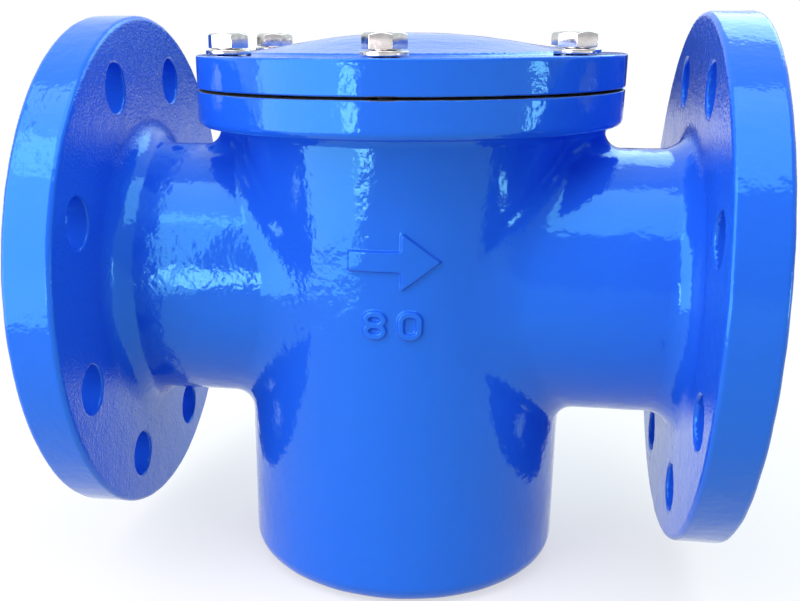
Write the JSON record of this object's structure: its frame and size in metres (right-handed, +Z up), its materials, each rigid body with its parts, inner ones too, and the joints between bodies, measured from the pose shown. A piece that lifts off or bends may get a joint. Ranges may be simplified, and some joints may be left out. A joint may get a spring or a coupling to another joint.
{
  "type": "basket strainer",
  "caption": "Flanged in-line basket strainer: cylindrical casting with two pipe flanges, a bolted domed cover and a slant-top perforated basket that lifts out.",
  "frame": {"origin": "centre of the foot of the barrel, on the surface that the strainer stands on", "axes": "+X along the pipe from inlet to outlet, +Z up along the barrel axis to the cover, +Y to the back of the strainer"},
  "size_m": [0.254, 0.2, 0.217],
  "materials": {
    "blue_paint": "glossy blue epoxy coating over cast iron, with a light cast texture",
    "fastener_steel": "bright stainless steel",
    "basket_steel": "satin stainless steel sheet and wire",
    "gasket_rubber": "matt black flat gasket"
  },
  "bodies": {
    "body": {"body_casting": "blue_paint", "cover_gasket": "gasket_rubber"},
    "cover": {"cover": "blue_paint"},
    "basket": {"basket_screen": "basket_steel", "basket_rim": "basket_steel", "basket_bottom": "basket_steel", "basket_seam_strip": "basket_steel", "bail_ear_back": "basket_steel", "bail_ear_front": "basket_steel"},
    "bail": {"basket_bail": "basket_steel"},
    "washer_1": {"cover_washer_1": "fastener_steel"},
    "washer_2": {"cover_washer_2": "fastener_steel"},
    "washer_3": {"cover_washer_3": "fastener_steel"},
    "washer_4": {"cover_washer_4": "fastener_steel"},
    "washer_5": {"cover_washer_5": "fastener_steel"},
    "washer_6": {"cover_washer_6": "fastener_steel"},
    "bolt_1": {"cover_bolt_1": "fastener_steel"},
    "bolt_2": {"cover_bolt_2": "fastener_steel"},
    "bolt_3": {"cover_bolt_3": "fastener_steel"},
    "bolt_4": {"cover_bolt_4": "fastener_steel"},
    "bolt_5": {"cover_bolt_5": "fastener_steel"},
    "bolt_6": {"cover_bolt_6": "fastener_steel"}
  },
  "joints": [
    {"name": "cover_lift", "type": "slide", "parent": "body", "child": "cover", "axis": [0, 0, 1], "range_m": [0, 0.3]},
    {"name": "basket_lift", "type": "slide", "parent": "body", "child": "basket", "axis": [0, 0, 1], "range_m": [0, 0.2]},
    {"name": "bail_swing", "type": "hinge", "parent": "basket", "child": "bail", "pos_m": [0, 0, 0.13182], "axis": [0, 1, 0], "range_deg": [0, 185]},
    {"name": "washer_1_rise", "type": "slide", "parent": "cover", "child": "washer_1", "axis": [0, 0, 1], "range_m": [0, 0.01125]},
    {"name": "washer_2_rise", "type": "slide", "parent": "cover", "child": "washer_2", "axis": [0, 0, 1], "range_m": [0, 0.01125]},
    {"name": "washer_3_rise", "type": "slide", "parent": "cover", "child": "washer_3", "axis": [0, 0, 1], "range_m": [0, 0.01125]},
    {"name": "washer_4_rise", "type": "slide", "parent": "cover", "child": "washer_4", "axis": [0, 0, 1], "range_m": [0, 0.01125]},
    {"name": "washer_5_rise", "type": "slide", "parent": "cover", "child": "washer_5", "axis": [0, 0, 1], "range_m": [0, 0.01125]},
    {"name": "washer_6_rise", "type": "slide", "parent": "cover", "child": "washer_6", "axis": [0, 0, 1], "range_m": [0, 0.01125]},
    {"name": "bolt_1_turn", "type": "hinge", "parent": "washer_1", "child": "bolt_1", "pos_m": [0, -0.0706, 0.2048], "axis": [0, 0, 1], "range_deg": [0, 3300]},
    {"name": "bolt_2_turn", "type": "hinge", "parent": "washer_2", "child": "bolt_2", "pos_m": [0.06114, -0.0353, 0.2048], "axis": [0, 0, 1], "range_deg": [0, 3300]},
    {"name": "bolt_3_turn", "type": "hinge", "parent": "washer_3", "child": "bolt_3", "pos_m": [0.06114, 0.0353, 0.2048], "axis": [0, 0, 1], "range_deg": [0, 3300]},
    {"name": "bolt_4_turn", "type": "hinge", "parent": "washer_4", "child": "bolt_4", "pos_m": [0, 0.0706, 0.2048], "axis": [0, 0, 1], "range_deg": [0, 3300]},
    {"name": "bolt_5_turn", "type": "hinge", "parent": "washer_5", "child": "bolt_5", "pos_m": [-0.06114, 0.0353, 0.2048], "axis": [0, 0, 1], "range_deg": [0, 3300]},
    {"name": "bolt_6_turn", "type": "hinge", "parent": "washer_6", "child": "bolt_6", "pos_m": [-0.06114, -0.0353, 0.2048], "axis": [0, 0, 1], "range_deg": [0, 3300]}
  ],
  "couplings": [
    {"joint": "basket_lift", "follows": "cover_lift", "ratio": 0.62},
    {"joint": "bolt_1_turn", "follows": "washer_1_rise", "rad_per_m": 5026.5},
    {"joint": "bolt_2_turn", "follows": "washer_2_rise", "rad_per_m": 5026.5},
    {"joint": "bolt_3_turn", "follows": "washer_3_rise", "rad_per_m": 5026.5},
    {"joint": "bolt_4_turn", "follows": "washer_4_rise", "rad_per_m": 5026.5},
    {"joint": "bolt_5_turn", "follows": "washer_5_rise", "rad_per_m": 5026.5},
    {"joint": "bolt_6_turn", "follows": "washer_6_rise", "rad_per_m": 5026.5}
  ]
}
